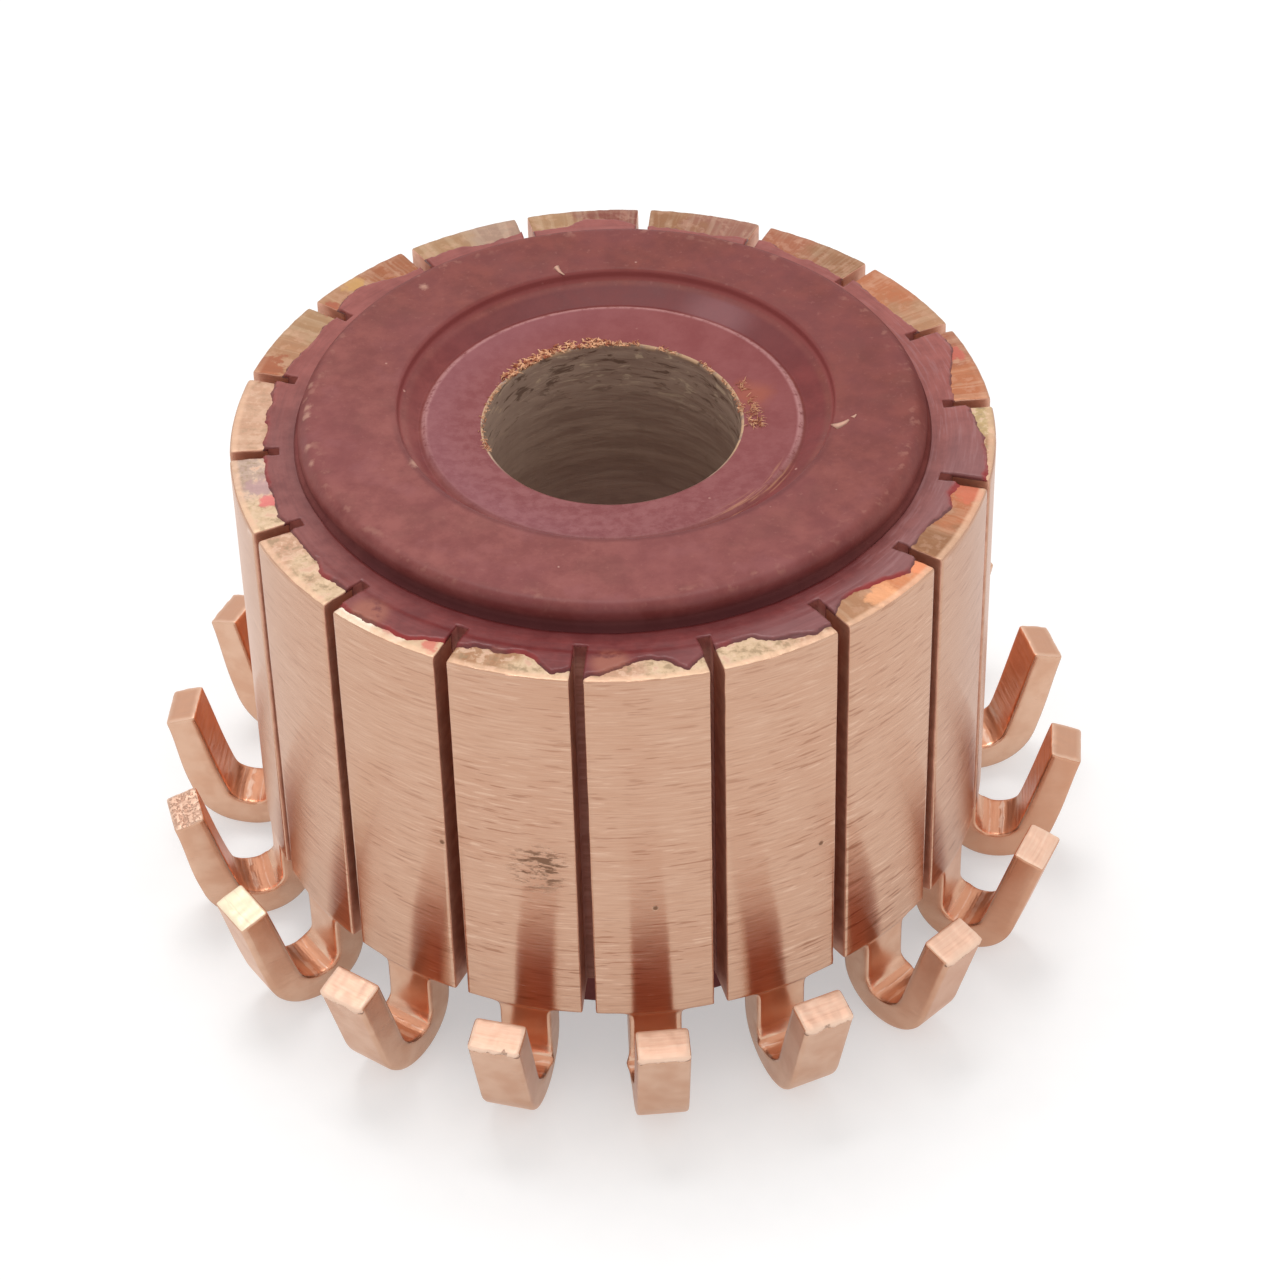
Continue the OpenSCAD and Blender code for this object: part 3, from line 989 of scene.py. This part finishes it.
def rounded_outline():
    """Points of the closed outline, each corner replaced by an arc, with even spacing between corners."""
    outline = []
    for n, (r, z, radius, _) in enumerate(corners):
        here = Vector((r, z))
        before = (Vector(corners[n - 1][:2]) - here).normalized()
        after = (Vector(corners[(n + 1) % len(corners)][:2]) - here).normalized()
        if radius == 0:
            arc = [here]
        else:
            half = before.angle(after) / 2
            centre = here + (before + after).normalized() * (radius / math.sin(half))
            reach = radius / math.tan(half)
            start, end = here + before * reach - centre, here + after * reach - centre
            arc = [centre + start.slerp(end, t).normalized() * radius for t in np.linspace(0, 1, 8)]
        outline.append(arc)
    points = []
    for n, arc in enumerate(outline):
        points += arc
        step = outline[(n + 1) % len(outline)][0] - arc[-1]
        parts = max(1, round(step.length / corners[n][3]))
        points += [arc[-1] + step * (k / parts) for k in range(1, parts)]
    return np.array(points)


hub_outline = rounded_outline()
print("points on the hub's outline:", len(hub_outline))


# %% Sweep the outline round the bore
BAR_STEPS = 20
SLOT_SIDES = (-0.97, 0.0, 0.97)


def sector_angles(radius, middle):
    """Angles of one bar's columns and the slot after it, at a radius. The last columns lie in the slot."""
    half_slot = math.asin(SLOT_HALF / radius)
    on_bar = np.linspace(-1, 1, BAR_STEPS + 1) * (PITCH / 2 - half_slot)
    in_slot = [PITCH / 2 + side * half_slot for side in SLOT_SIDES]
    return middle + np.concatenate([on_bar, in_slot])


def ring_cell(n, k, around, rings):
    """Corner numbers of cell k between ring n and the next of a closed grid."""
    first, second, after = n * around, (n + 1) % rings * around, (k + 1) % around
    return first + k, first + after, second + after, second + k


def lathe_hub():
    """Points and faces of the swept outline."""
    rings = []
    for r, z in hub_outline:
        for sector in range(BAR_COUNT):
            angles = sector_angles(r, sector * PITCH)
            reach = np.full(len(angles), r)
            if z > BAR_FOOT_Z - 0.2:
                reach[-len(SLOT_SIDES):] = min(r, SLOT_FLOOR_R)
            rings.append(np.stack([reach * np.cos(angles), reach * np.sin(angles), np.full(len(angles), z)], 1))
    count, around = len(hub_outline), BAR_COUNT * (BAR_STEPS + 1 + len(SLOT_SIDES))
    return np.concatenate(rings), [ring_cell(n, k, around, count) for n in range(count) for k in range(around)]


hub_points, hub_faces = lathe_hub()
print("points on the hub:", len(hub_points))


# %% Roughen and finish the hub
def roughen_hub(points):
    """Scores the bore's wall, sets the cove off centre, fills the undercut behind, and waves the face."""
    radius = np.hypot(points[:, 0], points[:, 1])
    moved = points.copy()
    in_bore = np.flatnonzero((radius < BORE_R + 0.03) & (points[:, 2] > 0.1))
    stretched = points[in_bore] * (0.5, 0.5, 2.2)
    depth = np.abs(lumps(stretched, 0.9, 5, 4)) * 0.09 * rise(BORE_TOP_Z - 0.01 - points[in_bore, 2], 0, 0.3)
    moved[in_bore, :2] *= (1 + depth / BORE_R)[:, None]
    by_cove = rise(radius, 5.95, 6.75) * (1 - rise(radius, 7.0, 9.0)) * (points[:, 2] > BAR_TOP_Z + 0.1)
    moved[:, :2] += np.outer(by_cove, COVE_SHIFT)
    on_wall = (radius > WALL_IN_R - 0.05) & (radius < LEDGE_IN_R) & (points[:, 2] > BAR_TOP_Z + 0.05)
    filled = on_wall * 0.2 * rise(points[:, 1], -8.0, -3.0) * rise(FACE_Z - points[:, 2], 0.1, 0.6)
    moved[:, :2] *= (1 + filled / radius)[:, None]
    on_face = np.flatnonzero(points[:, 2] > BAR_TOP_Z + 0.1)
    moved[on_face, 2] -= np.abs(lumps(points[on_face], 2.5, 9, 2)) * 0.015
    return moved


def tidy_mesh(piece):
    """Joins points that share a place and turns every face outward."""
    work = bmesh.new()
    work.from_mesh(piece.data)
    bmesh.ops.remove_doubles(work, verts=work.verts, dist=1e-7)
    bmesh.ops.recalc_face_normals(work, faces=work.faces)
    work.to_mesh(piece.data)
    work.free()


face_r = np.array([np.hypot(*hub_points[list(face), :2].T).mean() for face in hub_faces])
face_z = np.array([hub_points[list(face), 2].mean() for face in hub_faces])
column = np.arange(len(hub_faces)) % (BAR_STEPS + 1 + len(SLOT_SIDES))
in_bore = (face_r < BORE_R + 0.1) & (face_z > 0.1)
in_slot = (column >= BAR_STEPS) & (face_r > SLOT_FLOOR_R - 0.005) & (face_z > BAR_FOOT_Z - 0.1)
hub_face_finishes = np.where(in_bore, BORED, np.where(in_slot, SAWN_RESIN, MOULDED))
hub = add_piece("moulded_hub", roughen_hub(hub_points), hub_faces, hub_finishes, hub_face_finishes)
tidy_mesh(hub)
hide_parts("hub")
print("faces on the hub:", len(hub.data.polygons))

# %% [markdown]
# ## The film of resin on the bar ends
# When the hub was moulded, resin crept out over the bars' ends and set as a thin film with a ragged edge. It could be
# painted on, but it has a real thickness and a lip, so it is a sheet of its own. The sheet is a fine grid round the
# ledge whose height follows the sketch: where the film stops, the sheet dips into the copper, and the two surfaces
# cut each other along a ragged line, as the real ones do.

# %% Film finish
BLED_PLACES = [(8.6, -7.2, 17.2), (11.1, -1.9, 17.2), (-4.8, -10.3, 17.2)]
THIN_PLACES = [((0.93, -11.1, 17.2), 0.75), ((-2.5, -11.0, 17.2), 0.5), ((-8.0, 8.1, 17.2), 0.7),
               ((-6.4, -9.3, 17.2), 0.8)]


def film_resin():
    made, place = start_finish("film_resin", {"Specular IOR Level": 0.45})
    x, y, _ = place.parts()
    radius = place.from_axis()
    mottle = place.clouds(1.6, 4.0, 0.6)
    streaks = place.joined(radius * 9, x * 0.7, y * 0.7).clouds(1.0, 3.0, 0.6)
    beside = x.fall(-9.5, -4.0).either(x.rise(6.5, 10.0))
    behind = y.rise(-2.0, 3.0)
    colour = beside.mix(shades(mottle, (112, 36, 36), (130, 49, 47)), shades(mottle, (128, 62, 59), (148, 82, 77)))
    colour = coated(
        behind.mix(colour, shades(mottle, (146, 70, 63), (164, 86, 78))),
        # painted sheen: the film's outer edge turns lilac at the right front
        (radius.rise(10.15, 10.7) * x.rise(1.0, 6.0) * (1 - behind) * 0.55, (148, 98, 98)),
        (streaks.rise(0.5, 0.66) * (0.06 + x.rise(5.0, 9.0) * 0.25), (172, 124, 124)),
        ((1 - streaks).rise(0.52, 0.66) * 0.18, (98, 46, 48)),
        # painted shade on the film by the foot of the face's wall, at the front and sides
        (radius.fall(9.85, 10.35) * (1 - behind) * (0.45 - beside * 0.2), (86, 36, 38)))
    for spot, reach in THIN_PLACES:
        thin = place.near(spot, 0.4 * reach, reach) * mottle.rise(0.25, 0.45)
        colour = coated(colour, (thin * 0.85, (170, 100, 80)))
    bled = place.clouds(0.45, 2.0).rise(0.52, 0.6) * (1 - behind) * 0.7
    for spot in BLED_PLACES:
        bled = bled.either(place.near(spot, 0.8, 1.5))
    lip = place.node("ShaderNodeAttribute", {"attribute_name": "lip"}, {}, "Fac")
    # painted shadow along the film's lip; the red where the film is thin is its own colour
    colour = coated(colour, (lip.rise(0.7, 1.0) * 0.55, (82, 38, 36)), (lip * bled * 0.8, (164, 44, 42)))
    return end_finish(made, colour, 0.34 + mottle * 0.14, mottle * 0.015)


film_finish = film_resin()
print("finish:", film_finish.name)


# %% Build the film
FILM_IN_R = LEDGE_IN_R - 0.03
FILM_OUT_R = TRACK_R - 0.06
FILM_LEDGE = 0.05
FILM_THICK = 0.085
FILM_STEPS = 50
on_ledge, on_ends = np.linspace(FILM_IN_R, SLOT_FLOOR_R, 8), np.linspace(SLOT_FLOOR_R, FILM_OUT_R, 33)
film_radii = np.concatenate([on_ledge, on_ends[1:]])


def film_height(name, points, across):
    """Height of the film's surface over the bar's end, and how near its lip is."""
    radius = np.hypot(points[:, 0], points[:, 1])
    outward = (radius - BAR_IN_R) / (TRACK_R - BAR_IN_R)
    ragged = 0.07 * lumps(points, 0.5, 3) + 0.03 * lumps(points, 0.14, 6)
    spare = film_reach(name, across) - outward + ragged
    film = FILM_THICK * rise(spare, -0.01, 0.08) - 0.06 * rise(-spare, 0.0, 0.06)
    ledge = FILM_LEDGE + 0.012 * lumps(points, 1.2, 8)
    on_copper = rise(radius, BAR_IN_R - 0.15, BAR_IN_R + 0.12)
    return ledge + (film - ledge) * on_copper, (1 - rise(spare, 0.02, 0.14)) * on_copper


def film_grid():
    """Points of the film's top, ring by ring, with the height of each above the copper and its lip."""
    rings = []
    for r in film_radii:
        for sector, name in enumerate(bar_names):
            half_slot = math.asin(SLOT_HALF / r)
            across = np.linspace(-1, 1, FILM_STEPS + 1)
            on_bar = across * (PITCH / 2 - half_slot)
            angles = sector * PITCH + np.concatenate([on_bar, [PITCH / 2]])
            flat = np.stack([r * np.cos(angles), r * np.sin(angles), np.full(len(angles), BAR_TOP_Z)], 1)
            height, lip = film_height(name, flat, np.concatenate([across, [1]]))
            rings.append(np.column_stack([flat, height, lip]))
    return np.concatenate(rings)


film_points = film_grid()
print("points on the film:", len(film_points), "highest", round(film_points[:, 3].max(), 3), "mm")


# %% Close the film into a thin solid
FILM_CUT = -0.02
FILM_UNDER_Z = BAR_TOP_Z - 0.08


def film_cells():
    """Grid cells where the film stands above the copper."""
    around = BAR_COUNT * (FILM_STEPS + 2)
    for n in range(len(film_radii) - 1):
        for k in range(around):
            in_slot = k % (FILM_STEPS + 2) >= FILM_STEPS
            if in_slot and film_radii[n + 1] > SLOT_FLOOR_R + 1e-6:
                continue
            cell = ring_cell(n, k, around, len(film_radii))
            if film_points[list(cell), 3].max() > FILM_CUT:
                yield cell


def film_solid():
    """Points, faces and lip of the film, with a flat underside and a wall along its edge."""
    cells = list(film_cells())
    used = sorted({v for cell in cells for v in cell})
    count = len(used)
    number = {v: n for n, v in enumerate(used)}
    top = film_points[used, :3] + np.outer(film_points[used, 3], (0, 0, 1))
    under = np.column_stack([film_points[used, :2], np.full(count, FILM_UNDER_Z)])
    faces, edges = [], {}
    for cell in cells:
        loop = [number[v] for v in cell]
        faces += [tuple(loop), tuple(count + v for v in reversed(loop))]
        edges.update(dict.fromkeys(zip(loop, loop[1:] + loop[:1])))
    faces += [(a, count + a, count + b, b) for a, b in edges if (b, a) not in edges]
    return np.concatenate([top, under]), faces, np.tile(film_points[used, 4], 2)


film_verts, film_faces, film_lip = film_solid()
film = add_piece("resin_film", film_verts, film_faces, [film_finish], np.zeros(len(film_faces)))
film.data.attributes.new("lip", "FLOAT", "POINT").data.foreach_set("value", film_lip.astype(np.float32))
tidy_mesh(film)
print("faces on the film:", len(film_faces))

# %% [markdown]
# ## Torn fibres at the bore
# The bore was cut after moulding, and the tool tore out tufts of the resin's golden filler along the rim. They are
# tiny, but the eye goes to them. Hair could make them, but hair is lost when the model is exported, so each fibre is a
# short bent tube of its own. They stand in clumps, whose places and leans are drawn from a seeded generator. Three
# larger tubes, pressed flat, are the chips that lie on the face.

# %% Fibre finish and one fibre
FIBRE_RINGS = 4
FIBRE_SIDES = 4


def torn_fibre():
    made, place = start_finish("torn_fibre", {"Specular IOR Level": 0.3})
    streak = place.clouds(6.0)
    on_face = place.from_axis().rise(5.0, 5.6)
    colour = coated(shades(streak, (173, 99, 70), (245, 191, 149), 0.36, 0.6), (on_face, (216, 168, 146)))
    return end_finish(made, colour, 0.65 + streak * 0.2, streak * 0.01)


def fibre(base, heading, lean, length, thick):
    """Points and faces of one bent, tapered fibre."""
    side = heading.cross(Vector((0, 0, 1))).normalized()
    points = []
    for share in np.linspace(0, 1, FIBRE_RINGS).tolist():
        sag = Vector((0, 0, math.sin(lean) * length * share * (1.3 - share)))
        middle = base + heading * (math.cos(lean) * length * share) + sag
        middle += side * (0.12 * length * math.sin(2.5 * share + lean * 9))
        reach = thick * (1 - 0.75 * share)
        for k in range(FIBRE_SIDES):
            turn = 2 * math.pi / FIBRE_SIDES * k
            points.append(middle + side * (reach * math.cos(turn)) + Vector((0, 0, reach * math.sin(turn))))
    ends = tuple(range(FIBRE_SIDES)), tuple(range(len(points) - 1, len(points) - FIBRE_SIDES - 1, -1))
    cells = [ring_cell(n, k, FIBRE_SIDES, FIBRE_RINGS) for n in range(FIBRE_RINGS - 1) for k in range(FIBRE_SIDES)]
    return points, [*ends, *((a, d, c, b) for a, b, c, d in cells)]


print("corners of a fibre:", FIBRE_RINGS * FIBRE_SIDES)


# %% Scatter the fibres
# From and to in degrees, clumps, fibres in each, and the ranges of their radius, length and thickness
TUFTS = [
    (97, 151, 40, 7, (3.97, 4.26), (0.08, 0.26), (0.018, 0.055)),
    (66, 97, 12, 7, (3.97, 4.08), (0.07, 0.2), (0.014, 0.034)),
    (0, 30, 16, 9, (4.02, 4.6), (0.12, 0.34), (0.009, 0.018)),
    (8, 62, 16, 5, (3.97, 4.04), (0.06, 0.14), (0.012, 0.024)),
    (151, 206, 22, 5, (3.97, 4.05), (0.06, 0.14), (0.012, 0.024)),
]
# Place, turn in degrees, length and thickness
CHIPS = [((6.9, -0.7), 44, 0.58, 0.16), ((7.45, -0.2), 60, 0.2, 0.07), ((-2.45, 7.16), -51, 0.54, 0.1)]
CHIP_FLAT = 0.28
BOSS_RISE = 0.15
draw = np.random.default_rng(18)


def rim_fibres():
    """The fibres round the bore's rim, clump by clump."""
    for start, end, clumps, count, reach, lengths, thicks in TUFTS:
        for _ in range(clumps):
            middle, out = draw.uniform(start, end), draw.uniform(*reach)
            for _ in range(count):
                angle = math.radians(middle + draw.normal(0, 1.3))
                radius = max(out + draw.normal(0, 0.05), BORE_R - 0.04)
                outward = Vector((math.cos(angle), math.sin(angle), 0))
                z = BORE_TOP_Z + BOSS_RISE * (radius - BORE_R) / (BOSS_R - BORE_R)
                heading = Matrix.Rotation(draw.normal(0, 1.4), 3, "Z") @ outward
                yield fibre(outward * radius + Vector((0, 0, z)), heading, draw.uniform(0.0, 0.9),
                            draw.uniform(*lengths), draw.uniform(*thicks))


def face_chips():
    """The chips on the face, pressed flat."""
    for (x, y), turn, length, thick in CHIPS:
        heading = Matrix.Rotation(math.radians(turn), 3, "Z") @ Vector((1, 0, 0))
        points, faces = fibre(Vector((x, y, 0)), heading, 0.0, length, thick)
        yield [Vector((p.x, p.y, FACE_Z + CHIP_FLAT * p.z)) for p in points], faces


def all_fibres():
    """Points and faces of the fibres and chips, as one mesh."""
    points, faces = [], []
    for new, sides in [*rim_fibres(), *face_chips()]:
        faces += [tuple(len(points) + v for v in side) for side in sides]
        points += new
    return np.array(points), faces


fibre_points, fibre_faces = all_fibres()
fibres = add_piece("bore_fibres", fibre_points, fibre_faces, [torn_fibre()], np.zeros(len(fibre_faces)))
tidy_mesh(fibres)
print("fibre faces:", len(fibre_faces))

# %% [markdown]
# ## Floor and light
# The part stands on white paper in a pale room, under one wide soft lamp that hangs above and a little behind it. The
# copper mirrors the paper in front of it, so the paper matters as much as the lamp. A glow that only the camera and
# mirrors see takes the paper and the room to full white without adding light to the part, and the shadows stay on it.

# %% Floor
PAPER_GLOW = 0.44
FLOOR_HALF = 1.5


def seen_directly(tree):
    """1 for what the camera sees, itself or in a mirror, and 0 for light on its way to the part."""
    camera_ray, mirror_ray = (Socket(tree).node("ShaderNodeLightPath", {}, {}, f"Is {kind} Ray")
                              for kind in ("Camera", "Glossy"))
    return camera_ray.either(mirror_ray)


def white_paper():
    made = bpy.data.materials.new("white_paper")
    made.use_nodes = True
    tree = made.node_tree
    tree.nodes.clear()
    start = Socket(tree)
    speck = start.node("ShaderNodeTexCoord", {}, {}, "Object").clouds(900.0, 2.0)
    pale = speck.mix((0.62, 0.62, 0.62, 1), (0.66, 0.66, 0.66, 1))
    paper = start.node("ShaderNodeBsdfDiffuse", {}, {"Color": pale})
    glow = start.node("ShaderNodeEmission", {}, {"Strength": seen_directly(tree) * PAPER_GLOW})
    both = start.node("ShaderNodeAddShader", {}, {0: paper, 1: glow})
    out = tree.nodes.new("ShaderNodeOutputMaterial")
    tree.links.new(both.socket, out.inputs["Surface"])
    return made


floor_mesh = bpy.data.meshes.new("floor")
floor_corners = [(x * FLOOR_HALF, y * FLOOR_HALF, 0) for x, y in ((-1, -1), (1, -1), (1, 1), (-1, 1))]
floor_mesh.from_pydata(floor_corners, [], [(0, 1, 2, 3)])
floor_mesh.materials.append(white_paper())
floor = show(bpy.data.objects.new("floor", floor_mesh))
print("floor made")


# %% Lamp and room
MIDDLE_Z = 0.009
ROOM_LIGHT = 0.7


def soft_lamp(name, place, size, power):
    """A square lamp that faces the middle of the part, its place and size in metres."""
    light = bpy.data.lights.new(name, "AREA")
    light.size = size
    light.energy = power
    lamp = show(bpy.data.objects.new(name, light))
    lamp.location = place
    lamp.rotation_euler = (Vector((0, 0, MIDDLE_Z)) - Vector(place)).to_track_quat("-Z", "Y").to_euler()


soft_lamp("lamp_above", place=(-0.05, 0.12, 0.5), size=0.2, power=0.9)
world = bpy.data.worlds.new("room")
world.use_nodes = True
room = world.node_tree.nodes["Background"]
room.inputs["Color"].default_value = (1, 1, 1, 1)
strength = ROOM_LIGHT + seen_directly(world.node_tree) * (1 - ROOM_LIGHT)
world.node_tree.links.new(strength.socket, room.inputs["Strength"])
bpy.context.scene.world = world
print("lamp and room made")
